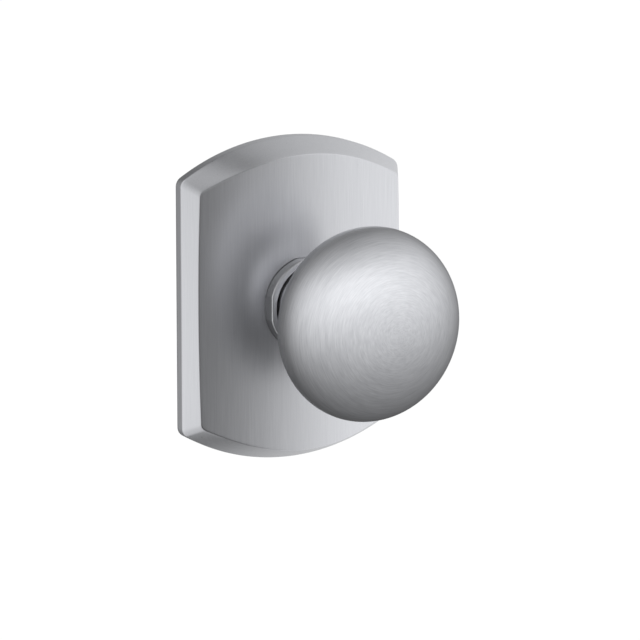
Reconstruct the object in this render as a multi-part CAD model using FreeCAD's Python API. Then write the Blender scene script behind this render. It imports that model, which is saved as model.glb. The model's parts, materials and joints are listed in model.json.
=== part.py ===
import FreeCAD, Part
import math
import os

# Outside half of a tubular passage door knob: an oblate knob on a rectangular rose with arched ends
# and a crowned face.
#
# Frame: +Z up, the room on the -Y side, the door face is the plane y = 0 and the knob turns about Y.
# All lengths are millimetres. A "relief" is a distance out of the door towards the room (y = -relief)
# and a "depth" is a distance into the door (y = +depth). A "radius" is from the knob's axis.

# ---- Rose: the decorative plate ----
rose_width = 69.85
rose_height = 92.0
rose_end_radius = 64.7
rose_corner_radius = 3.0
rose_rim = 3.1
rose_wall = 1.5
rose_edge_fillet = 0.4
crown_relief = 12.7
crown_radius = 127.0
crown_edge_fillet = 0.7
bevel_top_relief = 13.2
bevel_side_run = 4.725
bevel_end_run = 4.05
bevel_top_end_radius = 45.3
bevel_top_corner_radius = 2.4
bevel_top_bow_radius = 509.0
seat_relief = 11.9
seat_gap = 0.15

# ---- Collar nut and the hub it screws into ----
collar_bore_gap = 0.5
collar_skirt_wall = 1.1
collar_bead_step = 0.8
collar_bead_length = 4.0
collar_bead_fillet = 0.6
collar_skirt_rear_relief = 2.0
collar_flat_cut = 0.42
collar_flat_count = 4
rose_bore_gap = 0.25
thread_clearance = 0.05
hub_wall = 1.6
hub_relief = 7.0
hub_web = 1.5

# ---- Mounting plate and posts ----
plate_thickness = 2.0
plate_edge_gap = 0.6
post_spacing = 38.1
post_radius = 3.2
post_length = 21.5
post_thread_radius = 1.75
post_thread_depth = 15.0
post_stem_radius = 2.2
post_head_height = 0.8
post_chamfer = 0.5

# ---- Spring housing behind the plate ----
can_wall = 1.0
can_tab_gap = 1.3
can_depth = 11.0
can_flange_width = 25.0
can_flange_height = 44.0
can_flange_corner = 4.0
rivet_spacing_x = 16.0
rivet_spacing_z = 37.0
rivet_radius = 1.3
rivet_head_radius = 2.1
rivet_head_height = 0.8
anchor_tab_width = 2.8
anchor_tab_height = 0.95
anchor_tab_depth = 1.0
anchor_tab_rear_gap = 1.5

# ---- Spindle tube, bearings and what holds the tube along its axis ----
spindle_radius = 8.0
spindle_wall = 1.7
spindle_end_step = 1.7
spindle_front_setback = 8.3
running_clearance = 0.04
bush_wall = 1.66
bush_flange_step = 1.4
bush_flange_thickness = 1.4
bush_relief = 10.0
rear_bush_wall = 1.46
rear_bush_flange_step = 0.9
rear_bush_flange_thickness = 1.0
axial_gap = 0.3
washer_inset = 0.3
washer_thickness = 0.9
ring_groove_depth = 0.6
ring_thickness = 1.0
ring_step = 1.8
ring_gap_angle = 50.0

# ---- Driver plate, drive bar and their pin ----
driver_thickness = 2.0
driver_hub_step = 2.8
driver_wing_width = 6.4
driver_wing_reach = 19.0
driver_tab_gap = 0.6
driver_tab_height = 0.8
driver_tab_width = 2.8
driver_tab_front_gap = 0.1
driver_slot_clearance = 0.3
driver_key_width = 3.0
turn_limit = 69.0
plug_length = 14.0
bar_radius = 3.95
bar_thickness = 4.0
bar_end_depth = 43.0
bar_front_depth = 4.0
bar_end_fillet = 0.4
cross_pin_radius = 1.25
cross_pin_depth = 6.5

# ---- Knob: two shells on a cast core ----
knob_radius = 27.0
knob_half_depth = 17.2
knob_centre_relief = 46.3
knob_wall = 0.9
seam_setback = 7.9
seam_gap = 0.12
seam_lip_length = 3.0
neck_end_relief = 14.2
neck_end_gap = 0.4
neck_end_pull = 6.0
neck_pull_inset = 0.1
neck_blend_pull = 4.5
neck_blend_radius = 14.5
core_wall = 1.9
core_front_setback = 10.1
core_web_front_setback = 12.9
core_web_thickness = 2.4
core_boss_step = 2.1
core_recess = 0.4

# ---- Knob catch and its release hole ----
catch_relief = 22.0
catch_lug_width = 4.6
catch_lug_length = 5.6
catch_block_width = 7.0
catch_block_length = 8.4
catch_block_height = 2.6
catch_tip_gap = 0.5
catch_clearance = 0.3
catch_guide_gap = 0.3
release_hole_radius = 1.25

# ---- Springs ----
torsion_wire_radius = 0.7
torsion_coil_gap = 0.4
torsion_turns = 4
torsion_front_depth = 1.6
torsion_rear_room = 1.4
torsion_leg_overlap = 0.15
torsion_leg_gap = 0.1
catch_wire_radius = 0.4
catch_spring_radius = 2.2
catch_spring_turns = 4
catch_end_gap = 0.03

FORWARD = FreeCAD.Vector(0, 1, 0)
ORIGIN = FreeCAD.Vector(0, 0, 0)
UP = FreeCAD.Vector(0, 0, 1)
FAR = 200.0

# Radii that follow from the spindle outwards: its bearings, the collar and hub, then the knob's neck.
spindle_bore_radius = spindle_radius - spindle_wall
bush_bore_radius = spindle_radius + running_clearance
bush_radius = bush_bore_radius + bush_wall
bush_flange_radius = bush_radius + bush_flange_step
washer_radius = bush_flange_radius - washer_inset
ring_radius = spindle_radius + ring_step
collar_bore_radius = bush_flange_radius + collar_bore_gap
collar_skirt_radius = collar_bore_radius + collar_skirt_wall
collar_bead_radius = collar_skirt_radius + collar_bead_step
collar_flat_distance = collar_bead_radius - collar_flat_cut
rose_bore_radius = collar_skirt_radius + rose_bore_gap
hub_bore_radius = collar_skirt_radius + thread_clearance
hub_radius = hub_bore_radius + hub_wall
core_radius = spindle_radius + core_wall
core_boss_radius = core_radius + core_boss_step
catch_tip_radius = core_radius - catch_tip_gap
neck_pull_radius = core_radius + knob_wall - neck_pull_inset
neck_end_radius = collar_bore_radius - neck_end_gap

# Radii behind the plate, from the rear bush outwards: spring, driver tab, housing and anchor tab.
rear_bush_radius = bush_bore_radius + rear_bush_wall
torsion_mean_radius = rear_bush_radius + torsion_coil_gap + torsion_wire_radius
driver_hub_radius = spindle_radius + driver_hub_step
driver_tab_inner = torsion_mean_radius + torsion_wire_radius + driver_tab_gap
can_radius = driver_tab_inner + driver_tab_height + can_tab_gap + can_wall
anchor_tab_inner = can_radius - can_wall - anchor_tab_height
torsion_leg_reach = anchor_tab_inner + torsion_leg_overlap

# Places along the axis.
collar_front_relief = seat_relief + collar_bead_length
washer_rear_relief = bush_relief + axial_gap
front_ring_relief = washer_rear_relief + washer_thickness
anchor_tab_rear_depth = can_depth - anchor_tab_rear_gap
torsion_pitch = (can_depth - can_wall - torsion_front_depth - torsion_rear_room) / torsion_turns
driver_tab_front_depth = torsion_front_depth + driver_tab_front_gap
driver_front_depth = can_depth + rear_bush_flange_thickness + axial_gap
rear_ring_depth = driver_front_depth + driver_thickness
spindle_rear_depth = rear_ring_depth + ring_thickness + spindle_end_step
spindle_front_relief = knob_centre_relief - spindle_front_setback
seam_relief = knob_centre_relief - seam_setback
core_front_relief = knob_centre_relief - core_front_setback
core_web_front_relief = knob_centre_relief - core_web_front_setback
core_web_rear_relief = core_web_front_relief - core_web_thickness


def vector(x, y, z):
    return FreeCAD.Vector(x, y, z)


def cylinder(radius, start, end):
    """Cylinder about the knob's axis between two y values."""
    return Part.makeCylinder(radius, end - start, vector(0, start, 0), FORWARD)


def ring(outer, inner, start, end):
    """Plain ring about the knob's axis between two y values."""
    return cylinder(outer, start, end).cut(cylinder(inner, start, end))


def block(x_range, y_range, z_range):
    """Box from its lowest and highest x, y and z."""
    size = [high - low for low, high in (x_range, y_range, z_range)]
    return Part.makeBox(size[0], size[1], size[2], vector(x_range[0], y_range[0], z_range[0]))


def turned(edges):
    """Solid of revolution about the knob's axis of a closed run of edges in the plane z = 0."""
    face = Part.Face(Part.Wire(edges))
    return face.revolve(ORIGIN, FORWARD, 360)


def line(start, end):
    return Part.LineSegment(start, end).toShape()


def lines(points):
    """Straight edges joining the points in turn."""
    return [line(start, end) for start, end in zip(points, points[1:])]


def arc(start, middle, end):
    return Part.Arc(start, middle, end).toShape()


def arc_about(centre, radius, first_angle, last_angle):
    """Arc in the plane z = 0 about a centre, its angles in degrees from +x towards +y."""
    angles = (first_angle, (first_angle + last_angle) / 2, last_angle)
    turns = [math.radians(angle) for angle in angles]
    points = [centre + vector(radius * math.cos(turn), radius * math.sin(turn), 0) for turn in turns]
    return arc(*points)


def fillet_edges(shape, radius, wanted):
    """Round the edges of a shape for which wanted(edge) is true."""
    return shape.makeFillet(radius, [edge for edge in shape.Edges if wanted(edge)])


def lies_at(edge, y):
    """True where an edge lies in the plane of one y value."""
    return abs(edge.BoundBox.YMin - y) < 1e-6 and abs(edge.BoundBox.YMax - y) < 1e-6


def wedge(inner, outer, start, end, first_angle, sweep):
    """Part of a ring, from an angle measured from +z towards +x and turning the same way."""
    face = Part.Face(Part.makePolygon([vector(inner, start, 0), vector(outer, start, 0),
                                       vector(outer, end, 0), vector(inner, end, 0),
                                       vector(inner, start, 0)]))
    face.rotate(ORIGIN, FORWARD, first_angle - 90)
    return face.revolve(ORIGIN, FORWARD, sweep)


def spread(shape, count):
    """Copies of a shape evenly spaced about the knob's axis, the first in its own place."""
    copies = []
    for index in range(count):
        copy = shape.copy()
        copy.rotate(ORIGIN, FORWARD, 360.0 * index / count)
        copies.append(copy)
    return copies


# ---- Rose ----

def corner_rounding(half_width, half_height, end_radius, corner_radius, bow_radius):
    """Centre of the upper right corner's rounding, and the point where it leaves the side, as (x, z)."""
    end_centre = half_height - end_radius
    reach = end_radius - corner_radius
    if bow_radius is None:
        x = half_width - corner_radius
        z = end_centre + math.sqrt(reach ** 2 - x ** 2)
        return (x, z), (half_width, z)
    side_centre = half_width - bow_radius
    near = bow_radius - corner_radius
    gap = math.hypot(side_centre, end_centre)
    along = (near ** 2 - reach ** 2 + gap ** 2) / (2 * gap)
    across = math.sqrt(near ** 2 - along ** 2)
    x = side_centre - along * side_centre / gap - across * end_centre / gap
    z = along * end_centre / gap - across * side_centre / gap
    stretch = bow_radius / near
    return (x, z), (side_centre + (x - side_centre) * stretch, z * stretch)


def outline(half_width, half_height, end_radius, corner_radius, bow_radius, y):
    """Closed wire of two long sides, straight or bowed, and two arched ends, with rounded corners."""
    centre, side = corner_rounding(half_width, half_height, end_radius, corner_radius, bow_radius)
    end_centre = half_height - end_radius
    end_angle = math.atan2(centre[1] - end_centre, centre[0])
    side_angle = math.atan2(side[1] - centre[1], side[0] - centre[0])
    middle_angle = (end_angle + side_angle) / 2
    end = (end_radius * math.cos(end_angle), end_centre + end_radius * math.sin(end_angle))
    middle = (centre[0] + corner_radius * math.cos(middle_angle),
              centre[1] + corner_radius * math.sin(middle_angle))

    def at(point, sign_x, sign_z):
        return vector(sign_x * point[0], y, sign_z * point[1])

    edges = []
    for sign in (1, -1):
        if bow_radius is None:
            edges.append(line(at(side, sign, -sign), at(side, sign, sign)))
        else:
            edges.append(arc(at(side, sign, -sign), vector(sign * half_width, y, 0), at(side, sign, sign)))
        edges.append(arc(at(side, sign, sign), at(middle, sign, sign), at(end, sign, sign)))
        edges.append(arc(at(end, sign, sign), vector(0, y, sign * half_height), at(end, -sign, sign)))
        edges.append(arc(at(end, -sign, sign), at(middle, -sign, sign), at(side, -sign, sign)))
    return Part.Wire(edges)


def rim_outline(inset, y):
    return outline(rose_width / 2 - inset, rose_height / 2 - inset, rose_end_radius - inset,
                   rose_corner_radius - inset, None, y)


def rose_block(inset):
    """Solid block of the rose's form, shrunk by an inset: an upright rim, a bevel and a crowned face."""
    top = outline(rose_width / 2 - bevel_side_run - inset, rose_height / 2 - bevel_end_run - inset,
                  bevel_top_end_radius - inset, bevel_top_corner_radius - inset, bevel_top_bow_radius,
                  -bevel_top_relief)
    rim = Part.Face(rim_outline(inset, 0)).extrude(vector(0, -rose_rim, 0))
    bevel = Part.makeLoft([rim_outline(inset, -rose_rim), top], True, True)
    crown = Part.makeCylinder(crown_radius - inset, 2 * rose_height,
                              vector(0, crown_radius - crown_relief, -rose_height), UP)
    return rim.fuse(bevel).common(crown).removeSplitter()


def crown_edge(edge):
    """True for the edges between the bevel and the crowned face, which lie on the crown's cylinder."""
    points = edge.discretize(5)
    axis_y = crown_radius - crown_relief
    return all(abs(math.hypot(point.x, point.y - axis_y) - crown_radius) < 1e-4 for point in points)


def rose():
    """Pressed shell: a block with rounded edges, hollowed, with the collar's seat and hole cut in it."""
    form = fillet_edges(rose_block(0), crown_edge_fillet, crown_edge)
    form = fillet_edges(form, rose_edge_fillet, lambda edge: lies_at(edge, -rose_rim))
    form = form.cut(rose_block(rose_wall))
    form = form.cut(cylinder(collar_bead_radius + seat_gap, -bevel_top_relief, -seat_relief))
    return form.cut(cylinder(rose_bore_radius, -bevel_top_relief, 0))


# ---- Collar nut, hub and plate ----

def collar_nut():
    """Flanged ring nut: its skirt screws into the hub and its beaded flange clamps the rose."""
    bead = ring(collar_bead_radius, collar_bore_radius, -collar_front_relief, -seat_relief)
    for flat in spread(block((-FAR, FAR), (-FAR, FAR), (collar_flat_distance, FAR)), collar_flat_count):
        bead = bead.cut(flat)
    bead = fillet_edges(bead, collar_bead_fillet,
                        lambda edge: lies_at(edge, -collar_front_relief) and outer_edge(edge))
    skirt = ring(collar_skirt_radius, collar_bore_radius, -seat_relief, -collar_skirt_rear_relief)
    return bead.fuse(skirt)


def outer_edge(edge):
    """True where an edge of the bead lies outside the skirt's radius."""
    point = edge.Vertexes[0].Point
    return math.hypot(point.x, point.z) > collar_skirt_radius


def chassis_hub():
    """Threaded ring on a web; the web holds the bearing bush and the plate is staked round the ring."""
    web = ring(hub_radius, bush_radius, -hub_web, 0)
    return web.fuse(ring(hub_radius, hub_bore_radius, -hub_relief, -hub_web))


def mounting_plate():
    """Flat steel plate inside the rose, bearing on the door round its bore."""
    inset = rose_wall + plate_edge_gap
    plate = Part.Face(rim_outline(inset, 0)).extrude(vector(0, -plate_thickness, 0))
    plate = plate.cut(cylinder(hub_radius, -plate_thickness, 0))
    for x in (-post_spacing / 2, post_spacing / 2):
        plate = plate.cut(cylinder(post_stem_radius, -plate_thickness, 0).translated(vector(x, 0, 0)))
    for place in rivet_places():
        plate = plate.cut(cylinder(rivet_radius, -plate_thickness, 0).translated(place))
    return plate


def rivet_places():
    return [vector(x * rivet_spacing_x / 2, 0, z * rivet_spacing_z / 2) for x in (-1, 1) for z in (-1, 1)]


def can_rivets():
    """Four rivets that hold the spring housing's flange to the plate."""
    shank = cylinder(rivet_radius, -plate_thickness, can_wall)
    front_head = cylinder(rivet_head_radius, -plate_thickness - rivet_head_height, -plate_thickness)
    rear_head = cylinder(rivet_head_radius, can_wall, can_wall + rivet_head_height)
    rivet = shank.fuse([front_head, rear_head]).removeSplitter()
    return Part.makeCompound([rivet.translated(place) for place in rivet_places()])


def post(x):
    """Internally threaded post, staked into the plate, that takes a through screw from the far side."""
    stem = cylinder(post_stem_radius, -plate_thickness, 0)
    head = cylinder(post_radius, -plate_thickness - post_head_height, -plate_thickness)
    body = cylinder(post_radius, 0, post_length)
    body = body.makeChamfer(post_chamfer, [edge for edge in body.Edges if lies_at(edge, post_length)])
    thread = cylinder(post_thread_radius, post_length - post_thread_depth, post_length)
    return body.fuse([stem, head]).cut(thread).translated(vector(x, 0, 0))


# ---- Spring housing, bearings and return spring ----

def spring_can():
    """Drawn cup behind the plate with a riveted flange, an anchor tab inside and an arc slot in its back."""
    half_width = can_flange_width / 2
    half_height = can_flange_height / 2
    flange = block((-half_width, half_width), (0, can_wall), (-half_height, half_height))
    upright = [edge for edge in flange.Edges if edge.BoundBox.YLength > can_wall / 2]
    flange = flange.makeFillet(can_flange_corner, upright)
    for place in rivet_places():
        flange = flange.cut(cylinder(rivet_radius, 0, can_wall).translated(place))
    cup = flange.fuse(cylinder(can_radius, 0, can_depth))
    cup = cup.cut(cylinder(can_radius - can_wall, 0, can_depth - can_wall))
    cup = cup.cut(cylinder(rear_bush_radius, 0, can_depth))
    cup = cup.cut(driver_slot())
    tab = block((-anchor_tab_width / 2, anchor_tab_width / 2),
                (anchor_tab_depth, anchor_tab_rear_depth),
                (anchor_tab_inner, can_radius - can_wall / 2))
    return cup.fuse(tab).removeSplitter()


def driver_slot():
    """The arc that the driver's tab sweeps through the back of the housing, with clearance."""
    tab_outer = math.hypot(driver_tab_inner + driver_tab_height, driver_tab_width / 2)
    tab_angle = math.degrees(math.asin(driver_tab_width / 2 / driver_tab_inner))
    clear_angle = math.degrees(driver_slot_clearance / driver_tab_inner)
    half_sweep = turn_limit + tab_angle + clear_angle
    return wedge(driver_tab_inner - driver_slot_clearance, tab_outer + driver_slot_clearance,
                 can_depth - 2 * can_wall, can_depth + can_wall, -half_sweep, 2 * half_sweep)


def bearing_bush():
    """Front nylon bush, pressed into the hub's web."""
    sleeve = ring(bush_radius, bush_bore_radius, -bush_relief, 0)
    flange = ring(bush_flange_radius, bush_bore_radius, -hub_web - bush_flange_thickness, -hub_web)
    return sleeve.fuse(flange).removeSplitter()


def rear_bush():
    """Rear nylon bush, pressed into the back of the spring housing."""
    sleeve = ring(rear_bush_radius, bush_bore_radius, can_depth - 2 * can_wall, can_depth)
    flange = ring(rear_bush_radius + rear_bush_flange_step, bush_bore_radius, can_depth,
                  can_depth + rear_bush_flange_thickness)
    return sleeve.fuse(flange).removeSplitter()


def coil(wire_radius, mean_radius, pitch, height):
    """Round wire on a helix about +z from the plane z = 0, starting on the +x side."""
    helix = Part.makeHelix(pitch, height, mean_radius)
    rise = math.atan2(pitch, 2 * math.pi * mean_radius)
    direction = vector(0, math.cos(rise), math.sin(rise))
    section = Part.Wire(Part.makeCircle(wire_radius, vector(mean_radius, 0, 0), direction))
    return Part.Wire(helix).makePipeShell([section], True, True)


def return_spring():
    """Torsion spring round the spindle; its two legs stand either side of the anchor and driver tabs."""
    leg_x = driver_tab_width / 2 + torsion_leg_gap + torsion_wire_radius
    lean = math.degrees(math.asin(leg_x / torsion_mean_radius))
    turns = torsion_turns - 2 * lean / 360
    height = torsion_pitch * turns
    wire = coil(torsion_wire_radius, torsion_mean_radius, torsion_pitch, height)
    wire.rotate(ORIGIN, UP, 90 + lean)
    wire.rotate(ORIGIN, vector(1, 0, 0), 90)
    wire.rotate(ORIGIN, UP, 180)
    wire.translate(vector(0, torsion_front_depth, 0))
    foot = math.sqrt(torsion_mean_radius ** 2 - leg_x ** 2)
    leg_length = torsion_leg_reach - foot
    pieces = []
    for x, y in spring_ends(leg_x, height):
        pieces.append(Part.makeCylinder(torsion_wire_radius, leg_length, vector(x, y, foot), UP))
        pieces.append(Part.makeSphere(torsion_wire_radius, vector(x, y, foot)))
    return wire.fuse(pieces)


def spring_ends(leg_x, height):
    """Where the torsion spring's front and rear legs stand, as x and y."""
    return [(leg_x, torsion_front_depth), (-leg_x, torsion_front_depth + height)]


# ---- Spindle, driver and drive bar ----

def catch_window():
    """The window that the catch's lug comes through, cut from the spindle's wall outwards."""
    width = catch_lug_width + 2 * catch_clearance
    length = catch_lug_length + 2 * catch_clearance
    return catch_box(width, length, -core_radius - knob_wall / 2, 0)


def driver_keys():
    """The two keys of the driver plate, which fill slots in the spindle's rear end."""
    half_width = driver_key_width / 2
    bar = block((-half_width, half_width), (driver_front_depth, spindle_rear_depth), (-FAR, FAR))
    return bar.common(ring(spindle_radius, spindle_bore_radius, driver_front_depth, spindle_rear_depth))


def cross_pin():
    """Pin through spindle, plug and drive bar, flush with the spindle."""
    pin = Part.makeCylinder(cross_pin_radius, 2 * FAR, vector(0, cross_pin_depth, -FAR), UP)
    return pin.common(cylinder(spindle_radius, -FAR, FAR))


def drive_bar():
    """Half-round bar that turns the latch."""
    bar = cylinder(bar_radius, bar_front_depth, bar_end_depth)
    bar = bar.cut(block((-FAR, FAR), (-FAR, FAR), (bar_thickness - bar_radius, FAR)))
    bar = fillet_edges(bar, bar_end_fillet, lambda edge: lies_at(edge, bar_end_depth))
    return bar.cut(cross_pin())


def spindle_plug():
    """Cast plug in the spindle's rear end, keyed to the drive bar."""
    plug = cylinder(spindle_bore_radius, spindle_rear_depth - plug_length, spindle_rear_depth)
    return plug.cut(drive_bar()).cut(cross_pin())


def spindle_tube():
    """Steel tube with two ring grooves, the catch's window and the driver's key slots."""
    tube = ring(spindle_radius, spindle_bore_radius, -spindle_front_relief, spindle_rear_depth)
    groove_radius = spindle_radius - ring_groove_depth
    for start in (-front_ring_relief - ring_thickness, rear_ring_depth):
        tube = tube.cut(ring(FAR, groove_radius, start, start + ring_thickness))
    return tube.cut(catch_window()).cut(driver_keys()).cut(cross_pin())


def retaining_ring(start):
    """Open ring in a groove of the spindle."""
    groove_radius = spindle_radius - ring_groove_depth
    whole = ring(ring_radius, groove_radius, start, start + ring_thickness)
    gap = wedge(spindle_bore_radius, FAR, start - ring_thickness, start + 2 * ring_thickness,
                180 - ring_gap_angle / 2, ring_gap_angle)
    return whole.cut(gap)


def thrust_washer():
    return ring(washer_radius, bush_bore_radius, -front_ring_relief, -washer_rear_relief)


def driver_plate():
    """Keyed plate with two wings that stop on the posts and a tab that winds the return spring."""
    start = driver_front_depth
    end = driver_front_depth + driver_thickness
    wings = block((-driver_wing_width / 2, driver_wing_width / 2), (start, end), (-FAR, FAR))
    wings = wings.common(cylinder(driver_wing_reach, start, end))
    plate = wings.fuse(cylinder(driver_hub_radius, start, end)).cut(cylinder(spindle_radius, start, end))
    keys = driver_keys().common(cylinder(spindle_radius, start, end))
    tab = block((-driver_tab_width / 2, driver_tab_width / 2), (driver_tab_front_depth, end),
                (driver_tab_inner, driver_tab_inner + driver_tab_height))
    return plate.fuse([keys, tab]).removeSplitter()


# ---- Knob ----

def knob_form(inset):
    """Solid of the knob's outer form, shrunk by an inset: a waisted neck that flows into an oblate ball."""
    radius = knob_radius - inset
    half_depth = knob_half_depth - inset
    ellipse = Part.Ellipse(vector(0, -knob_centre_relief, 0), radius, half_depth)
    blend_angle = math.acos((neck_blend_radius - inset) / radius)
    ball = Part.ArcOfEllipse(ellipse, -math.pi / 2, blend_angle)
    blend = ball.EndPoint
    slope = vector(radius * math.sin(blend_angle), -half_depth * math.cos(blend_angle), 0)
    slope.normalize()
    neck_end = vector(neck_end_radius - inset, -neck_end_relief, 0)
    neck = Part.BezierCurve()
    neck.setPoles([neck_end, vector(neck_pull_radius - inset, -neck_end_relief - neck_end_pull, 0),
                   blend - slope * neck_blend_pull, blend])
    front = vector(0, -knob_centre_relief - half_depth, 0)
    axis = lines([neck_end, vector(0, -neck_end_relief, 0), front])
    return turned([ball.toBSpline().toShape(), neck.toShape()] + axis)


def slab(low_relief, high_relief):
    """Everything between two reliefs."""
    return cylinder(FAR, -high_relief, -low_relief)


def knob_skin(outer_inset, inner_inset):
    return knob_form(outer_inset).cut(knob_form(inner_inset))


def knob_front_shell():
    """The dome, from the pole back to the crimped seam behind the widest point."""
    return knob_skin(0, knob_wall).common(slab(seam_relief, FAR))


def knob_rear_shell():
    """Back of the ball and the neck, with a lip that the dome is crimped over and a release hole."""
    back = knob_skin(0, knob_wall).common(slab(0, seam_relief - seam_gap))
    lip = knob_skin(knob_wall, 2 * knob_wall)
    lip = lip.common(slab(seam_relief - seam_lip_length, seam_relief + seam_lip_length))
    hole = Part.makeCylinder(release_hole_radius, FAR, vector(0, -catch_relief, 0), vector(0, 0, -1))
    return back.fuse(lip).cut(hole)


def knob_core():
    """Zinc core: a sleeve in the neck, a web seated in the back of the ball and a boss."""
    sleeve = ring(core_radius, spindle_radius, -core_front_relief, -neck_end_relief - core_recess)
    web = ring(FAR, spindle_radius, -core_web_front_relief, -core_web_rear_relief)
    web = web.common(knob_form(knob_wall))
    boss = ring(core_boss_radius, spindle_radius, -core_front_relief, -core_web_front_relief)
    return sleeve.fuse([web, boss]).cut(catch_window()).removeSplitter()


# ---- Catch ----

def catch_block_floor():
    """Height of the catch block's underside, clear of the spindle's bore."""
    reach = spindle_bore_radius - catch_guide_gap
    return -math.sqrt(reach ** 2 - (catch_block_width / 2) ** 2)


def knob_catch():
    """Sprung block inside the spindle with a lug that locks the core to the spindle."""
    floor = catch_block_floor()
    base = catch_box(catch_block_width, catch_block_length, floor, floor + catch_block_height)
    return base.fuse(catch_box(catch_lug_width, catch_lug_length, -catch_tip_radius, floor))


def catch_box(width, length, bottom, top):
    """Box centred on the catch's place along the axis."""
    y_range = (-catch_relief - length / 2, -catch_relief + length / 2)
    return block((-width / 2, width / 2), y_range, (bottom, top))


def catch_spring():
    """Compression spring between the catch and the top of the spindle's bore."""
    low = catch_block_floor() + catch_block_height + catch_wire_radius
    outer = catch_spring_radius + catch_wire_radius
    high = math.sqrt(spindle_bore_radius ** 2 - outer ** 2) - catch_wire_radius - catch_end_gap
    wire = coil(catch_wire_radius, catch_spring_radius, (high - low) / catch_spring_turns, high - low)
    return wire.translated(vector(0, -catch_relief, low))


PARTS = {
    "rose": rose(),
    "collar_nut": collar_nut(),
    "mounting_plate": mounting_plate(),
    "chassis_hub": chassis_hub(),
    "bearing_bush": bearing_bush(),
    "spring_can": spring_can(),
    "can_rivets": can_rivets(),
    "left_post": post(-post_spacing / 2),
    "right_post": post(post_spacing / 2),
    "rear_bush": rear_bush(),
    "return_spring": return_spring(),
    "knob_front_shell": knob_front_shell(),
    "knob_rear_shell": knob_rear_shell(),
    "knob_core": knob_core(),
    "spindle_tube": spindle_tube(),
    "thrust_washer": thrust_washer(),
    "front_retaining_ring": retaining_ring(-front_ring_relief - ring_thickness),
    "driver_plate": driver_plate(),
    "rear_retaining_ring": retaining_ring(rear_ring_depth),
    "spindle_plug": spindle_plug(),
    "drive_bar": drive_bar(),
    "cross_pin": cross_pin(),
    "knob_catch": knob_catch(),
    "catch_spring": catch_spring(),
}

os.makedirs("parts", exist_ok=True)
for name, shape in PARTS.items():
    shape.exportStep("parts/" + name + ".step")
    print(name, len(shape.Solids), "solid", round(shape.Volume, 2), "mm3", shape.isValid())
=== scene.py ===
import json
import math
import bpy
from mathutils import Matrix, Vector


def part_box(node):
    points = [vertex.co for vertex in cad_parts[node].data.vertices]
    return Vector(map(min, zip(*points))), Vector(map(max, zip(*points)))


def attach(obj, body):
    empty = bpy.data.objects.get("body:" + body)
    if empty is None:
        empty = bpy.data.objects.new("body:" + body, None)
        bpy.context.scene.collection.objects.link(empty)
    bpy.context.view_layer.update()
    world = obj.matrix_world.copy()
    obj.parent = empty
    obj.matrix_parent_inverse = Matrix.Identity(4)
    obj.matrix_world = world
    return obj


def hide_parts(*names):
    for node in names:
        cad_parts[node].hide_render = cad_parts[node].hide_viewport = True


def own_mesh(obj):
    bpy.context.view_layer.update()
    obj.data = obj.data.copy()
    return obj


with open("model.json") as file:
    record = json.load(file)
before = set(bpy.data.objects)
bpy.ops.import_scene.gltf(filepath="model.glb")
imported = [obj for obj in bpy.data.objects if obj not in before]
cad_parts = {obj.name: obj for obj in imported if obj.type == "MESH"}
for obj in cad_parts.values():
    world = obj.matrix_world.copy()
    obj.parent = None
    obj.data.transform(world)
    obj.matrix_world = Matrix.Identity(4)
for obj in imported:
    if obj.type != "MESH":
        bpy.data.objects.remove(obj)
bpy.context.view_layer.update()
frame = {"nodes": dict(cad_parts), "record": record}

# Frame: metres, +Z up, the door face is y = 0, the room is on the -Y side and the knob turns about Y.
# A "relief" is a distance out of the door, so y = -relief. A "radius" is from the knob's axis.
MM = 0.001

dome_low, dome_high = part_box("knob_front_shell")
back_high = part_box("knob_rear_shell")[1]
rose_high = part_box("rose")[1]
collar_low, collar_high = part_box("collar_nut")
spring_low, spring_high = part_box("catch_spring")

# ---- Rose ----
ROSE_HALF_WIDTH = rose_high[0]
ROSE_HALF_HEIGHT = 46.0 * MM
ROSE_END_RADIUS = 64.7 * MM
ROSE_CORNER = 3.0 * MM
ROSE_RIM = 3.1 * MM
ROSE_WALL = 1.5 * MM
BEVEL_TOP = 13.2 * MM
BEVEL_SIDE_RUN = 4.725 * MM
BEVEL_END_RUN = 4.05 * MM
BEVEL_END_RADIUS = 45.3 * MM
BEVEL_CORNER = 2.4 * MM
BEVEL_BOW_RADIUS = 509.0 * MM
CROWN_RELIEF = 12.7 * MM
CROWN_RADIUS = 127.0 * MM
SEAT_RELIEF = 11.9 * MM
SEAT_RADIUS = 13.65 * MM
SEAT_STEP = 0.05 * MM
BACK_EDGE_SOFT = 0.25 * MM
RIM_SOFT = 0.35 * MM
CROWN_SOFT = 0.32 * MM
ROSE_BORE_RADIUS = 12.95 * MM

# ---- Knob ----
KNOB_RADIUS = dome_high[0]
KNOB_HALF_DEPTH = 17.2 * MM
KNOB_CENTRE = -dome_low[1] - KNOB_HALF_DEPTH
KNOB_WALL = 0.9 * MM
SEAM_RELIEF = -dome_high[1]
SEAM_SOFT = 0.25 * MM
SEAM_GAP = 0.12 * MM
NECK_END_RELIEF = -back_high[1]
NECK_END_RADIUS = 11.2 * MM
NECK_BLEND_RADIUS = 14.5 * MM
NECK_PULL_RADIUS = 10.7 * MM
NECK_END_PULL = 6.0 * MM
NECK_BLEND_PULL = 4.5 * MM

# ---- Collar ----
COLLAR_BORE = 11.6 * MM
COLLAR_RADIUS = 13.5 * MM
COLLAR_FRONT = -collar_low[1]
COLLAR_SEAT = SEAT_RELIEF
COLLAR_SKIRT = 12.7 * MM
COLLAR_REAR = -collar_high[1]
COLLAR_FLAT = 13.08 * MM
COLLAR_BEAD = 0.6 * MM
COLLAR_LIP = 0.25 * MM
COLLAR_SEGMENTS = 360

# ---- Catch spring ----
SPRING_WIRE = 0.4 * MM
SPRING_TURNS = 3.0
SPRING_END_TURNS = 0.7
SPRING_END_CLEAR = 0.02 * MM
SPRING_COLUMNS = 12
SPRING_STEPS = 36

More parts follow.
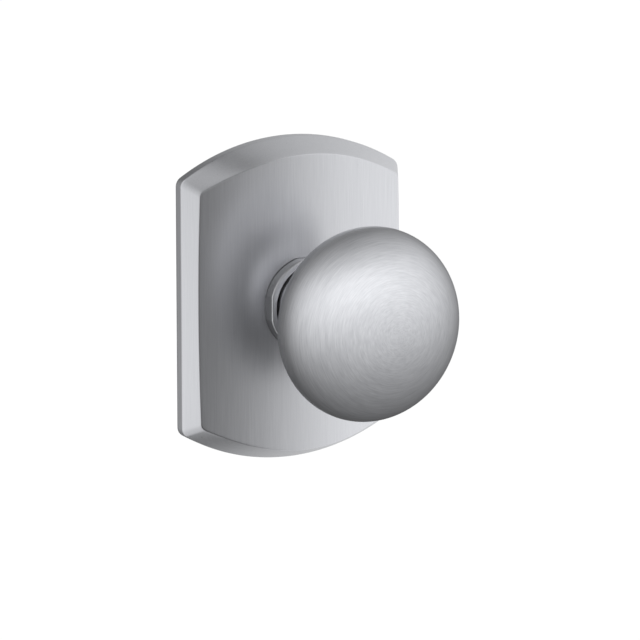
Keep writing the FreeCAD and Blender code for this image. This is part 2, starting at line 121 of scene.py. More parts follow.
# ---- Camera ----
CAMERA_AZIMUTH = -29.5
CAMERA_ELEVATION = 11.4
CAMERA_DISTANCE = 1.2
CAMERA_LENS = 239.0
AIM_RIGHT = 9.75 * MM
AIM_UP = -7.0 * MM

FLOOR_HEIGHT = -0.32
FLOOR_HALF_WIDTH = 30.0
BACKDROP_RADIUS = 4.0
BACKDROP_HEIGHT = 20.0


# ---------------------------------------------------------------- mesh building

def soften(start, corner, end, size, steps=6):
    """Points that round a corner between two neighbours, size being the distance cut back along each."""
    first = corner + (start - corner).normalized() * size
    last = corner + (end - corner).normalized() * size
    points = []
    for index in range(steps + 1):
        t = index / steps
        points.append(first * (1 - t) ** 2 + corner * (2 * t * (1 - t)) + last * t ** 2)
    return points


def between(start, end, steps):
    """Points between two ends, both left out."""
    return [start.lerp(end, index / steps) for index in range(1, steps)]


def mesh_object(name, vertices, faces, sharp_angle=40.0):
    mesh = bpy.data.meshes.new(name)
    mesh.from_pydata([tuple(v) for v in vertices], [], faces)
    mesh.validate()
    mesh.polygons.foreach_set("use_smooth", [True] * len(mesh.polygons))
    mesh.set_sharp_from_angle(angle=math.radians(sharp_angle))
    piece = bpy.data.objects.new(name, mesh)
    bpy.context.scene.collection.objects.link(piece)
    return piece


def grid_faces(rings, columns):
    """Quads of a grid of rings that closes both ways, each ring holding the same number of columns."""
    faces = []
    for ring in range(rings):
        below = ring * columns
        above = (ring + 1) % rings * columns
        for column in range(columns):
            following = (column + 1) % columns
            faces.append((below + column, below + following, above + following, above + column))
    return faces


def turned(name, profile, segments=256, open_ends=False):
    """Body of revolution from (radius, relief) points; an end on the knob's axis is a single point."""
    vertices = []
    faces = []
    starts = []
    for radius, relief in profile:
        starts.append(len(vertices))
        if radius < 1e-7:
            vertices.append((0.0, -relief, 0.0))
            continue
        for segment in range(segments):
            angle = 2 * math.pi * segment / segments
            vertices.append((radius * math.cos(angle), -relief, radius * math.sin(angle)))
    count = len(profile)
    joins = count - 1 if open_ends or profile[0][0] < 1e-7 else count
    for index in range(joins):
        here = index
        there = (index + 1) % count
        here_point = profile[here][0] < 1e-7
        there_point = profile[there][0] < 1e-7
        for segment in range(segments):
            following = (segment + 1) % segments
            a = starts[here] + (0 if here_point else segment)
            b = starts[here] + (0 if here_point else following)
            c = starts[there] + (0 if there_point else following)
            d = starts[there] + (0 if there_point else segment)
            if here_point and there_point:
                continue
            if here_point:
                faces.append((a, c, d))
            elif there_point:
                faces.append((a, b, c))
            else:
                faces.append((a, b, c, d))
    return mesh_object(name, vertices, faces)


# ---------------------------------------------------------------- rose

def outline_corner(half_width, half_height, end_radius, corner_radius, bow_radius):
    """Centre of the upper right corner's rounding and the point where it leaves the side, as (x, z)."""
    end_centre = half_height - end_radius
    reach = end_radius - corner_radius
    if bow_radius is None:
        x = half_width - corner_radius
        z = end_centre + math.sqrt(reach ** 2 - x ** 2)
        return (x, z), (half_width, z)
    side_centre = half_width - bow_radius
    near = bow_radius - corner_radius
    gap = math.hypot(side_centre, end_centre)
    along = (near ** 2 - reach ** 2 + gap ** 2) / (2 * gap)
    across = math.sqrt(near ** 2 - along ** 2)
    x = side_centre - along * side_centre / gap - across * end_centre / gap
    z = along * end_centre / gap - across * side_centre / gap
    stretch = bow_radius / near
    return (x, z), (side_centre + (x - side_centre) * stretch, z * stretch)


SIDE_STEPS = 28
CORNER_STEPS = 12
END_STEPS = 26
FACE_STEPS = 30
HOLLOW_STEPS = 12


def quarter_outline(half_width, half_height, end_radius, corner_radius, bow_radius):
    """Points of one quarter of the outline, from the middle of the right side to the top, as (x, z)."""
    centre, side = outline_corner(half_width, half_height, end_radius, corner_radius, bow_radius)
    end_centre = half_height - end_radius
    end_angle = math.atan2(centre[1] - end_centre, centre[0])
    side_angle = math.atan2(side[1] - centre[1], side[0] - centre[0])
    points = []
    for index in range(SIDE_STEPS):
        z = side[1] * index / SIDE_STEPS
        sag = 0.0 if bow_radius is None else bow_radius - math.sqrt(bow_radius ** 2 - z ** 2)
        points.append((half_width - sag, z))
    for index in range(CORNER_STEPS):
        angle = side_angle + (end_angle - side_angle) * index / CORNER_STEPS
        points.append((centre[0] + corner_radius * math.cos(angle),
                       centre[1] + corner_radius * math.sin(angle)))
    for index in range(END_STEPS + 1):
        angle = end_angle + (math.pi / 2 - end_angle) * index / END_STEPS
        points.append((end_radius * math.cos(angle), end_centre + end_radius * math.sin(angle)))
    return points


def full_outline(half_width, half_height, end_radius, corner_radius, bow_radius=None):
    """The whole outline anticlockwise as seen from the room's far side, from the right side's middle."""
    quarter = quarter_outline(half_width, half_height, end_radius, corner_radius, bow_radius)
    upper_left = [(-x, z) for x, z in reversed(quarter[:-1])]
    lower_left = [(-x, -z) for x, z in quarter[1:]]
    lower_right = [(x, -z) for x, z in reversed(quarter[1:-1])]
    return quarter + upper_left + lower_left + lower_right


def crown(x, inset=0.0):
    """Relief of the crowned face, or of the hollow behind it, at a distance from the middle."""
    return CROWN_RELIEF - CROWN_RADIUS + math.sqrt((CROWN_RADIUS - inset) ** 2 - x ** 2)


def crown_edge(shoulder, top, inset):
    """Where the bevel between two points meets the crowned face."""
    low, high = 0.0, 1.0
    for _ in range(40):
        share = (low + high) / 2
        point = shoulder.lerp(top, share)
        if -point.y < crown(point.x, inset):
            low = share
        else:
            high = share
    return shoulder.lerp(top, low)


def rose_plate():
    """The rose as one grid: round the outline, and across rim, bevel, crown, seat and back."""
    def rim(inset):
        return full_outline(ROSE_HALF_WIDTH - inset, ROSE_HALF_HEIGHT - inset, ROSE_END_RADIUS - inset,
                            ROSE_CORNER - inset)

    def bevel_top(inset):
        half_width = ROSE_HALF_WIDTH - BEVEL_SIDE_RUN
        half_height = ROSE_HALF_HEIGHT - BEVEL_END_RUN
        return full_outline(half_width - inset, half_height - inset, BEVEL_END_RADIUS - inset,
                            BEVEL_CORNER - inset, BEVEL_BOW_RADIUS)

    def at(point, relief):
        return Vector((point[0], -relief, point[1]))

    def across_face(edge, radius, inset, steps):
        """Points on the crown from its edge to a circle about the knob's axis, the first left out."""
        foot = Vector((edge.x, 0, edge.z)).normalized() * radius
        points = []
        for index in range(1, steps + 1):
            place = Vector((edge.x, 0, edge.z)).lerp(foot, index / steps)
            points.append(Vector((place.x, -crown(place.x, inset), place.z)))
        return points

    columns = []
    for outer, inner, over, under in zip(rim(0), rim(ROSE_WALL), bevel_top(0), bevel_top(ROSE_WALL)):
        back_outer = at(outer, 0)
        back_inner = at(inner, 0)
        shoulder = at(outer, ROSE_RIM)
        edge = crown_edge(shoulder, at(over, BEVEL_TOP), 0)
        hollow_shoulder = at(inner, ROSE_RIM)
        hollow_edge = crown_edge(hollow_shoulder, at(under, BEVEL_TOP), ROSE_WALL)
        face = across_face(edge, SEAT_RADIUS, 0, FACE_STEPS)
        hollow = across_face(hollow_edge, ROSE_BORE_RADIUS, ROSE_WALL, HOLLOW_STEPS)
        column = soften(back_inner, back_outer, shoulder, BACK_EDGE_SOFT, steps=3)
        column += between(column[-1], shoulder, steps=4)
        column += soften(back_outer, shoulder, edge, RIM_SOFT)
        column += between(column[-1], edge, steps=5)
        column += soften(shoulder, edge, face[0], CROWN_SOFT, steps=8)
        column += face
        heading = Vector((edge.x, 0, edge.z)).normalized()
        for radius in (SEAT_RADIUS - SEAT_STEP, ROSE_BORE_RADIUS):
            place = heading * radius
            column.append(Vector((place.x, -min(SEAT_RELIEF, crown(place.x)), place.z)))
        column += hollow[::-1]
        column += [hollow_edge, hollow_shoulder, back_inner]
        columns.append(column)
    rows = len(columns[0])
    vertices = [columns[c][r] for r in range(rows) for c in range(len(columns))]
    return mesh_object("rose_plate", vertices, grid_faces(rows, len(columns)), sharp_angle=50.0)


# ---------------------------------------------------------------- knob and collar

def ellipse_profile(inset, first_relief, last_relief, steps):
    """Points of the ball's outline between two reliefs, evenly spaced by angle, as (radius, relief)."""
    radius = KNOB_RADIUS - inset
    depth = KNOB_HALF_DEPTH - inset
    first = math.asin(max(-1, min(1, (first_relief - KNOB_CENTRE) / depth)))
    last = math.asin(max(-1, min(1, (last_relief - KNOB_CENTRE) / depth)))
    points = []
    for index in range(steps + 1):
        angle = first + (last - first) * index / steps
        points.append((max(0.0, radius * math.cos(angle)), KNOB_CENTRE + depth * math.sin(angle)))
    return points


def neck_profile(inset, steps):
    """The waisted neck from its end to where it meets the ball, as (radius, relief)."""
    radius = KNOB_RADIUS - inset
    depth = KNOB_HALF_DEPTH - inset
    turn = math.acos((NECK_BLEND_RADIUS - inset) / radius)
    blend = Vector((radius * math.cos(turn), KNOB_CENTRE - depth * math.sin(turn)))
    slope = Vector((radius * math.sin(turn), depth * math.cos(turn))).normalized()
    poles = [Vector((NECK_END_RADIUS - inset, NECK_END_RELIEF)),
             Vector((NECK_PULL_RADIUS - inset, NECK_END_RELIEF + NECK_END_PULL)),
             blend - slope * NECK_BLEND_PULL, blend]
    points = []
    for index in range(steps + 1):
        t = index / steps
        s = 1 - t
        weights = (s ** 3, 3 * s * s * t, 3 * s * t * t, t ** 3)
        point = sum((pole * weight for pole, weight in zip(poles, weights)), Vector((0, 0)))
        points.append((point.x, point.y))
    return points


def knob_dome():
    """Front shell: the outside from the pole to the rolled edge at the seam, then the inside."""
    outside = ellipse_profile(0, KNOB_CENTRE + KNOB_HALF_DEPTH, SEAM_RELIEF + SEAM_SOFT, steps=72)
    edge_radius, edge_relief = outside[-1]
    lip = [(edge_radius - SEAM_SOFT * 0.42, SEAM_RELIEF + SEAM_SOFT * 0.25),
           (edge_radius - SEAM_SOFT * 1.1, SEAM_RELIEF)]
    inside = ellipse_profile(KNOB_WALL, SEAM_RELIEF, KNOB_CENTRE + KNOB_HALF_DEPTH - KNOB_WALL, steps=40)
    return turned("knob_dome", outside + lip + inside)


def knob_back():
    """Rear shell: the neck and the back of the ball outside, then the inside back to the neck's end."""
    neck = neck_profile(0, steps=30)
    back = ellipse_profile(0, neck[-1][1], SEAM_RELIEF - SEAM_GAP - SEAM_SOFT, steps=24)
    edge_radius, edge_relief = back[-1]
    lip = [(edge_radius - SEAM_SOFT * 0.3, edge_relief + SEAM_SOFT * 0.7),
           (edge_radius - SEAM_SOFT * 1.0, SEAM_RELIEF - SEAM_GAP)]
    inner_neck = neck_profile(KNOB_WALL, steps=20)
    inside = ellipse_profile(KNOB_WALL, SEAM_RELIEF, inner_neck[-1][1], steps=16)
    return turned("knob_back", neck + back[1:] + lip + inside + inner_neck[::-1][1:])


def collar_ring():
    """Collar nut: a beaded flange with four flats on a threaded skirt."""
    bead = [(COLLAR_RADIUS, COLLAR_SEAT)]
    for index in range(9):
        turn = math.pi / 2 * index / 8
        bead.append((COLLAR_RADIUS - COLLAR_BEAD * (1 - math.cos(turn)),
                     COLLAR_FRONT - COLLAR_BEAD * (1 - math.sin(turn))))
    bead += [(COLLAR_BORE + COLLAR_LIP, COLLAR_FRONT), (COLLAR_BORE, COLLAR_FRONT - COLLAR_LIP)]
    profile = bead + [(COLLAR_BORE, COLLAR_REAR), (COLLAR_SKIRT, COLLAR_REAR), (COLLAR_SKIRT, COLLAR_SEAT)]
    vertices = []
    for radius, relief in profile:
        for segment in range(COLLAR_SEGMENTS):
            angle = 2 * math.pi * segment / COLLAR_SEGMENTS
            off_flat = (angle + math.pi / 4) % (math.pi / 2) - math.pi / 4
            reach = COLLAR_FLAT / math.cos(off_flat) - (COLLAR_RADIUS - radius)
            cut = min(radius, reach) if radius > COLLAR_SKIRT else radius
            vertices.append((cut * math.cos(angle), -relief, cut * math.sin(angle)))
    return mesh_object("collar_ring", vertices, grid_faces(len(profile), COLLAR_SEGMENTS), sharp_angle=30.0)


def spring_height(turn, marks):
    """Height of the wire after a number of turns, between marks of (turns, height)."""
    for (first, start), (last, end) in zip(marks, marks[1:]):
        if turn <= last:
            return start + (end - start) * (turn - first) / (last - first)
    return marks[-1][1]


def pressed_spring():
    """Catch spring: round wire wound along Z to fill its box, with its end turns wound close."""
    middle_x = (spring_low[0] + spring_high[0]) / 2
    middle_y = (spring_low[1] + spring_high[1]) / 2
    radius = (spring_high[0] - spring_low[0]) / 2 - SPRING_WIRE
    bottom = spring_low[2] + SPRING_WIRE + SPRING_END_CLEAR
    top = spring_high[2] - SPRING_WIRE - SPRING_END_CLEAR
    closed = 2.1 * SPRING_WIRE * SPRING_END_TURNS
    all_turns = SPRING_TURNS + 2 * SPRING_END_TURNS
    marks = [(0.0, bottom), (SPRING_END_TURNS, bottom + closed),
             (all_turns - SPRING_END_TURNS, top - closed), (all_turns, top)]
    rings = round(all_turns * SPRING_STEPS) + 1
    vertices = []
    for ring in range(rings):
        turn = all_turns * ring / (rings - 1)
        angle = 2 * math.pi * turn
        height = spring_height(turn, marks)
        for column in range(SPRING_COLUMNS):
            around = 2 * math.pi * column / SPRING_COLUMNS
            reach = radius + SPRING_WIRE * math.cos(around)
            vertices.append((middle_x + reach * math.cos(angle), middle_y + reach * math.sin(angle),
                             height + SPRING_WIRE * math.sin(around)))
    start_cap = tuple(range(SPRING_COLUMNS))
    end_cap = tuple(len(vertices) - 1 - column for column in range(SPRING_COLUMNS))
    faces = [start_cap, end_cap]
    for ring in range(rings - 1):
        for column in range(SPRING_COLUMNS):
            here = ring * SPRING_COLUMNS + column
            following = ring * SPRING_COLUMNS + (column + 1) % SPRING_COLUMNS
            faces.append((here, here + SPRING_COLUMNS, following + SPRING_COLUMNS, following))
    return mesh_object("catch_spring_coil", vertices, faces, sharp_angle=60.0)


# ---------------------------------------------------------------- materials

def material(name):
    made = bpy.data.materials.new(name)
    made.use_nodes = True
    tree = made.node_tree
    tree.nodes.clear()
    output = tree.nodes.new("ShaderNodeOutputMaterial")
    shader = tree.nodes.new("ShaderNodeBsdfPrincipled")
    tree.links.new(shader.outputs[0], output.inputs[0])
    return made, tree, shader


def node(tree, kind, **settings):
    made = tree.nodes.new(kind)
    for key, value in settings.items():
        setattr(made, key, value)
    return made


def maths(tree, operation, first, second=None):
    """A maths node whose inputs are sockets or numbers; gives its output."""
    made = node(tree, "ShaderNodeMath", operation=operation)
    for index, value in enumerate((first, second)):
        if value is None:
            continue
        if isinstance(value, (int, float)):
            made.inputs[index].default_value = value
        else:
            tree.links.new(value, made.inputs[index])
    return made.outputs[0]


def spread_value(tree, source, low, high):
    """Maps 0..1 to low..high."""
    made = node(tree, "ShaderNodeMapRange")
    tree.links.new(source, made.inputs[0])
    made.inputs[3].default_value = low
    made.inputs[4].default_value = high
    return made.outputs[0]


def spread_range(tree, source, low, high):
    """Maps low..high to 0..1."""
    made = node(tree, "ShaderNodeMapRange")
    tree.links.new(source, made.inputs[0])
    made.inputs[1].default_value = low
    made.inputs[2].default_value = high
    return made.outputs[0]


def noise(tree, vector, scale, detail=4.0, roughness=0.6):
    made = node(tree, "ShaderNodeTexNoise")
    made.inputs["Scale"].default_value = scale
    made.inputs["Detail"].default_value = detail
    made.inputs["Roughness"].default_value = roughness
    tree.links.new(vector, made.inputs["Vector"])
    return made.outputs["Fac"]


def straight_grain(tree, stretch):
    """Object coordinates scaled so that noise runs in long streaks up the piece."""
    place = node(tree, "ShaderNodeTexCoord").outputs["Object"]
    made = node(tree, "ShaderNodeMapping")
    made.inputs["Scale"].default_value = stretch
    tree.links.new(place, made.inputs["Vector"])
    return made.outputs[0]


def spun_grain(tree, fine, centre, half_depth, radius, turns):
    """Coordinates in which noise runs in rings round the knob's axis, by the angle off the front pole."""
    place = node(tree, "ShaderNodeTexCoord").outputs["Object"]
    parts = node(tree, "ShaderNodeSeparateXYZ")
    tree.links.new(place, parts.inputs[0])
    x, y, z = parts.outputs
    squares = maths(tree, "ADD", maths(tree, "MULTIPLY", x, x), maths(tree, "MULTIPLY", z, z))
    out = maths(tree, "SQRT", squares)
    deep = maths(tree, "DIVIDE", maths(tree, "ADD", y, centre), -half_depth)
    off_pole = maths(tree, "ARCTAN2", maths(tree, "DIVIDE", out, radius), deep)
    round_x = maths(tree, "DIVIDE", x, maths(tree, "ADD", out, POLE_SOFT))
    round_z = maths(tree, "DIVIDE", z, maths(tree, "ADD", out, POLE_SOFT))
    join = node(tree, "ShaderNodeCombineXYZ")
    tree.links.new(maths(tree, "MULTIPLY", off_pole, fine), join.inputs[0])
    tree.links.new(maths(tree, "MULTIPLY", round_x, turns), join.inputs[1])
    tree.links.new(maths(tree, "MULTIPLY", round_z, turns), join.inputs[2])
    return join.outputs[0]


def bump(tree, height, strength, distance):
    made = node(tree, "ShaderNodeBump")
    made.inputs["Strength"].default_value = strength
    made.inputs["Distance"].default_value = distance
    tree.links.new(height, made.inputs["Height"])
    return made.outputs[0]


def tinted(tree, factor, dark, light):
    made = node(tree, "ShaderNodeMix", data_type="RGBA")
    made.inputs["A"].default_value = (*dark, 1)
    made.inputs["B"].default_value = (*light, 1)
    tree.links.new(factor, made.inputs["Factor"])
    return made.outputs["Result"]


def ring_tangent(tree):
    made = node(tree, "ShaderNodeTangent", direction_type="RADIAL", axis="Y")
    return made.outputs[0]


POLE_SOFT = 0.5 * MM
SATIN_DARK = (0.60, 0.605, 0.62)
SATIN_LIGHT = (0.70, 0.705, 0.72)
ROSE_DARK = (0.555, 0.56, 0.58)
ROSE_LIGHT = (0.73, 0.735, 0.755)
KNOB_DARK = (0.535, 0.54, 0.56)
KNOB_LIGHT = (0.735, 0.74, 0.76)


def satin_rose():
    """Plated satin face with a fine upright brushed grain."""
    made, tree, shader = material("satin_rose")
    fine = noise(tree, straight_grain(tree, (2600, 2600, 90)), 1.0, 2.0)
    broad = noise(tree, straight_grain(tree, (500, 500, 18)), 1.0)
    both = maths(tree, "ADD", maths(tree, "MULTIPLY", fine, 0.7), maths(tree, "MULTIPLY", broad, 0.3))
    tree.links.new(tinted(tree, both, ROSE_DARK, ROSE_LIGHT), shader.inputs["Base Color"])
    tree.links.new(spread_value(tree, both, 0.22, 0.40), shader.inputs["Roughness"])
    tree.links.new(bump(tree, fine, 0.18, 0.00004), shader.inputs["Normal"])
    shader.inputs["Metallic"].default_value = 1.0
    return made


def satin_knob():
    """Plated satin face, brushed in short strokes round the front pole."""
    made, tree, shader = material("satin_knob")
    fine = noise(tree, spun_grain(tree, 75.0, KNOB_CENTRE, KNOB_HALF_DEPTH, KNOB_RADIUS, 4.5), 1.0, 2.0)
    broad = noise(tree, spun_grain(tree, 22.0, KNOB_CENTRE, KNOB_HALF_DEPTH, KNOB_RADIUS, 3.0), 1.0, 3.0)
    both = maths(tree, "ADD", maths(tree, "MULTIPLY", fine, 0.65), maths(tree, "MULTIPLY", broad, 0.35))
    tree.links.new(tinted(tree, spread_range(tree, both, 0.25, 0.75), KNOB_DARK, KNOB_LIGHT),
                   shader.inputs["Base Color"])
    tree.links.new(spread_value(tree, both, 0.22, 0.42), shader.inputs["Roughness"])
    tree.links.new(bump(tree, both, 0.5, 0.00008), shader.inputs["Normal"])
    shader.inputs["Metallic"].default_value = 1.0
    shader.inputs["Anisotropic"].default_value = 0.4
    tree.links.new(ring_tangent(tree), shader.inputs["Tangent"])
    return made


def satin_collar():
    made, tree, shader = material("satin_collar")
    rings = spun_grain(tree, fine=200.0, centre=12 * MM, half_depth=10 * MM, radius=15 * MM, turns=3.0)
    fine = noise(tree, rings, 1.0)
    tree.links.new(tinted(tree, fine, SATIN_DARK, SATIN_LIGHT), shader.inputs["Base Color"])
    tree.links.new(spread_value(tree, fine, 0.24, 0.34), shader.inputs["Roughness"])
    tree.links.new(bump(tree, fine, 0.1, 0.00003), shader.inputs["Normal"])
    shader.inputs["Metallic"].default_value = 1.0
    return made


def plain_metal(name, dark, light, rough_low, rough_high, scale, depth, metallic=1.0):
    """Metal or plastic with mottled colour and roughness and a fine grainy bump."""
    made, tree, shader = material(name)
    place = straight_grain(tree, (1, 1, 1))
    mottle = noise(tree, place, scale, 6.0, 0.65)
    grain = noise(tree, place, scale * 12, 3.0, 0.6)
    tree.links.new(tinted(tree, mottle, dark, light), shader.inputs["Base Color"])
    tree.links.new(spread_value(tree, grain, rough_low, rough_high), shader.inputs["Roughness"])
    tree.links.new(bump(tree, grain, 0.35, depth), shader.inputs["Normal"])
    shader.inputs["Metallic"].default_value = metallic
    return made


def dress(obj, made):
    obj.data.materials.clear()
    obj.data.materials.append(made)


# ---------------------------------------------------------------- assembly of pieces

rose_skin = rose_plate()
dome = knob_dome()
back = knob_back()
collar = collar_ring()
spring = pressed_spring()

dress(rose_skin, satin_rose())
knob_skin = satin_knob()
dress(dome, knob_skin)
dress(back, knob_skin)
dress(collar, satin_collar())

for piece, body, cad_node, slot in (
        (rose_skin, "trim", "rose", "satin_face"),
        (collar, "trim", "collar_nut", "satin_collar"),
        (dome, "knob", "knob_front_shell", "satin_face"),
        (back, "knob", "knob_rear_shell", "satin_face"),
        (spring, "knob", "catch_spring", "spring_steel")):
    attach(piece, body)
    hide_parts(cad_node)

plated = plain_metal("plated_steel", (0.50, 0.52, 0.56), (0.66, 0.67, 0.70), 0.22, 0.38, 260.0, 0.00003)
casting = plain_metal("zinc_casting", (0.36, 0.36, 0.37), (0.50, 0.50, 0.51), 0.42, 0.62, 420.0, 0.00008)
wire = plain_metal("spring_steel", (0.20, 0.20, 0.21), (0.36, 0.36, 0.37), 0.26, 0.42, 500.0, 0.00002)
nylon = plain_metal("nylon", (0.70, 0.68, 0.61), (0.80, 0.78, 0.72), 0.38, 0.50, 300.0, 0.00003, 0.0)
brass = plain_metal("brass", (0.66, 0.48, 0.22), (0.80, 0.62, 0.32), 0.22, 0.36, 350.0, 0.00003)

FINISHES = {"plated_steel": plated, "zinc_casting": casting, "spring_steel": wire, "nylon": nylon,
            "brass": brass}
for entry in frame["record"]["subparts"]:
    finish = FINISHES.get(entry["material_slot"])
    if finish is not None:
        dress(frame["nodes"][entry["node"]], finish)
dress(spring, wire)
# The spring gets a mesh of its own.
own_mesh(spring)


# ---------------------------------------------------------------- stage, lights and camera

def direction(azimuth, elevation):
    """Unit vector from the object towards a view; azimuth 0 looks along +Y."""
    turn = math.radians(azimuth)
    lift = math.radians(elevation)
    return Vector((math.sin(turn) * math.cos(lift), -math.cos(turn) * math.cos(lift), math.sin(lift)))


def lights_only(emitter, name, lit):
    """Makes an emitter light only the given pieces."""
    receivers = bpy.data.collections.new(name + "_lights")
    for piece in lit:
        receivers.objects.link(piece)
    emitter.light_linking.receiver_collection = receivers


def softbox(name, azimuth, elevation, distance, width, height, power, aim=Vector((0, -0.03, 0))):
    light = bpy.data.lights.new(name, "AREA")
    light.shape = "RECTANGLE"
    light.size = width
    light.size_y = height
    light.energy = power
    lamp = bpy.data.objects.new(name, light)
    lamp.location = aim + direction(azimuth, elevation) * distance
    lamp.rotation_euler = (aim - lamp.location).to_track_quat("-Z", "Y").to_euler()
    bpy.context.scene.collection.objects.link(lamp)
    return lamp


def floor():
    half = FLOOR_HALF_WIDTH
    corners = [(-half, -half, FLOOR_HEIGHT), (half, -half, FLOOR_HEIGHT),
               (half, half, FLOOR_HEIGHT), (-half, half, FLOOR_HEIGHT)]
    plane = mesh_object("floor", corners, [(0, 1, 2, 3)])
    made, tree, shader = material("pale_floor")
    shader.inputs["Base Color"].default_value = (0.9, 0.9, 0.9, 1)
    shader.inputs["Roughness"].default_value = 0.9
    shader.inputs["Emission Color"].default_value = (1, 1, 1, 1)
    shader.inputs["Emission Strength"].default_value = 0.9
    dress(plane, made)
    plane.visible_glossy = False


def backdrop():
    """White wall far off all round, seen by the camera only."""
    columns = 96
    vertices = []
    for height in (FLOOR_HEIGHT, BACKDROP_HEIGHT):
        for column in range(columns):
            turn = 2 * math.pi * column / columns
            vertices.append((BACKDROP_RADIUS * math.cos(turn), BACKDROP_RADIUS * math.sin(turn), height))
    faces = [(c, (c + 1) % columns, columns + (c + 1) % columns, columns + c) for c in range(columns)]
    wall = mesh_object("backdrop", vertices, faces)
    made, tree, shader = material("pale_wall")
    shader.inputs["Base Color"].default_value = (0.9, 0.9, 0.9, 1)
    shader.inputs["Emission Color"].default_value = (1, 1, 1, 1)
    shader.inputs["Emission Strength"].default_value = 1.0
    dress(wall, made)
    wall.visible_glossy = False
    wall.visible_diffuse = False
    wall.visible_shadow = False


# Brightness of the studio in front of the object, by height: (vertical part of the direction, brightness).
FRONT_BY_HEIGHT = ((-1.0, 0.32), (-0.77, 0.40), (-0.5, 0.56), (-0.17, 0.84), (0.17, 1.14), (0.5, 1.26),
                   (0.77, 0.98), (0.94, 0.78), (1.0, 0.66))
# How much of that shows, by how far round the direction is: (part towards the front, share).
SHARE_BY_TURN = ((-1.0, 0.16), (-0.87, 0.20), (-0.5, 0.32), (-0.17, 0.55), (0.17, 0.74), (0.5, 0.92),
                 (0.77, 1.0))
# The rose's own panels, by azimuth in half turns (0 faces the room, positive is to the right), and by height.
ROSE_BY_TURN = ((-1.0, 0.18), (-0.83, 0.27), (-0.56, 1.12), (-0.40, 0.40), (-0.27, 0.0), (-0.06, 0.03),
                (0.03, 0.22), (0.10, 0.50), (0.17, 0.84), (0.30, 1.16), (0.5, 1.20), (0.67, 1.0),
                (1.0, 0.18))
ROSE_BY_HEIGHT = ((-1.0, 0.9), (-0.8, 1.0), (-0.4, 1.17), (-0.1, 1.06), (0.4, 0.95), (0.8, 0.86), (1.0, 0.8))
STUDIO_TINT = (0.985, 0.99, 1.0)
STUDIO_FRONT_AZIMUTH = -7.0
ROOM_SHARE = 0.22
PANEL_STRENGTH = 0.77
TENT_RADIUS = 0.28


def curve(tree, source, points, low, high):
    """A smooth function of a socket, drawn through (input, output) points."""
    made = node(tree, "ShaderNodeFloatCurve")
    line = made.mapping.curves[0]
    placed = [((x - low) / (high - low), y / 2) for x, y in points]
    line.points[0].location = placed[0]
    line.points[1].location = placed[-1]
    for place in placed[1:-1]:
        line.points.new(*place)
    made.mapping.update()
    tree.links.new(spread_range(tree, source, low, high), made.inputs["Value"])
    return maths(tree, "MULTIPLY", made.outputs[0], 2.0)


def studio(tree, parts):
    """Brightness by direction: greatest above the front, falling away behind and below."""
    front = direction(STUDIO_FRONT_AZIMUTH, 0)
    towards = maths(tree, "ADD", maths(tree, "MULTIPLY", parts.outputs[0], front.x),
                    maths(tree, "MULTIPLY", parts.outputs[1], front.y))
    height = curve(tree, parts.outputs[2], FRONT_BY_HEIGHT, -1.0, 1.0)
    return maths(tree, "MULTIPLY", height, curve(tree, towards, SHARE_BY_TURN, -1.0, 1.0))


def side_panels(tree, parts):
    """Brightness by direction of two upright panels, one at each side of the rose."""
    turn = maths(tree, "ARCTAN2", parts.outputs[0], maths(tree, "MULTIPLY", parts.outputs[1], -1.0))
    by_turn = curve(tree, maths(tree, "DIVIDE", turn, math.pi), ROSE_BY_TURN, -1.0, 1.0)
    return maths(tree, "MULTIPLY", by_turn, curve(tree, parts.outputs[2], ROSE_BY_HEIGHT, -1.0, 1.0))


def sky():
    """The room's own light."""
    world = bpy.data.worlds.new("studio")
    world.use_nodes = True
    tree = world.node_tree
    tree.nodes.clear()
    output = tree.nodes.new("ShaderNodeOutputWorld")
    background = tree.nodes.new("ShaderNodeBackground")
    background.inputs["Color"].default_value = (*STUDIO_TINT, 1)
    parts = node(tree, "ShaderNodeSeparateXYZ")
    tree.links.new(node(tree, "ShaderNodeTexCoord").outputs["Generated"], parts.inputs[0])
    tree.links.new(maths(tree, "MULTIPLY", studio(tree, parts), ROOM_SHARE), background.inputs["Strength"])
    tree.links.new(background.outputs[0], output.inputs[0])
    bpy.context.scene.world = world


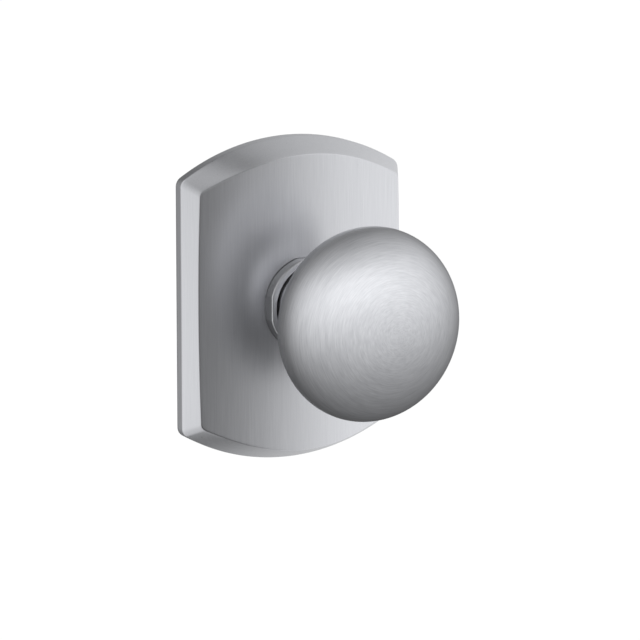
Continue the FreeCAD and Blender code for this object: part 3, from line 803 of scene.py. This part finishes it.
def light_tent(name, radius, pattern, strength, lit):
    """A glowing see-through tent round the object that lights only some of the pieces."""
    rows, columns = 24, 48
    profile = [(radius * math.sin(math.pi * row / rows), radius * math.cos(math.pi * row / rows))
               for row in range(rows + 1)]
    profile[0] = (0.0, radius)
    profile[-1] = (0.0, -radius)
    tent = turned(name, profile, columns, True)
    made = bpy.data.materials.new(name)
    made.use_nodes = True
    tree = made.node_tree
    tree.nodes.clear()
    output = tree.nodes.new("ShaderNodeOutputMaterial")
    glow = tree.nodes.new("ShaderNodeEmission")
    clear = tree.nodes.new("ShaderNodeBsdfTransparent")
    both = tree.nodes.new("ShaderNodeAddShader")
    glow.inputs["Color"].default_value = (*STUDIO_TINT, 1)
    unit = node(tree, "ShaderNodeVectorMath", operation="NORMALIZE")
    tree.links.new(node(tree, "ShaderNodeTexCoord").outputs["Object"], unit.inputs[0])
    parts = node(tree, "ShaderNodeSeparateXYZ")
    tree.links.new(unit.outputs[0], parts.inputs[0])
    tree.links.new(maths(tree, "MULTIPLY", pattern(tree, parts), strength), glow.inputs["Strength"])
    tree.links.new(glow.outputs[0], both.inputs[0])
    tree.links.new(clear.outputs[0], both.inputs[1])
    tree.links.new(both.outputs[0], output.inputs[0])
    dress(tent, made)
    tent.visible_camera = False
    tent.visible_shadow = False
    lights_only(tent, name, lit)


def camera():
    data = bpy.data.cameras.new("camera")
    data.lens = CAMERA_LENS
    data.sensor_width = 36.0
    data.clip_start = 0.05
    data.clip_end = 100.0
    eye = bpy.data.objects.new("camera", data)
    outward = direction(CAMERA_AZIMUTH, CAMERA_ELEVATION)
    right = Vector((math.cos(math.radians(CAMERA_AZIMUTH)), math.sin(math.radians(CAMERA_AZIMUTH)), 0))
    up = right.cross(-outward).normalized()
    aim = right * AIM_RIGHT + up * AIM_UP
    eye.location = outward * CAMERA_DISTANCE
    eye.rotation_euler = (aim - eye.location).to_track_quat("-Z", "Y").to_euler()
    bpy.context.scene.collection.objects.link(eye)
    bpy.context.scene.camera = eye


floor()
backdrop()
sky()
inner_pieces = list(frame["nodes"].values()) + [spring]
light_tent("front_tent", TENT_RADIUS, studio, 1.0 - ROOM_SHARE, [dome, back] + inner_pieces)
light_tent("rose_tent", TENT_RADIUS + 0.01, side_panels, PANEL_STRENGTH, [rose_skin, collar])
softbox("key", azimuth=-10, elevation=32, distance=1.6, width=1.6, height=0.9, power=0.7)
for name, azimuth, elevation, power in (("back_left", 150, 35, 5.0), ("back_right", 232, 8, 3.0)):
    lamp = softbox(name, azimuth, elevation, distance=1.1, width=0.7, height=0.5, power=power)
    lights_only(lamp, name, inner_pieces)
# Light from over the rose on the ball's back, which the rose's face mirrors.
over_rose = softbox("over_rose", azimuth=158, elevation=54, distance=0.5, width=0.8, height=0.8, power=1.2)
over_rose.data.use_shadow = False
lights_only(over_rose, "over_rose", [back])
camera()
bpy.context.scene.view_settings.view_transform = "Standard"
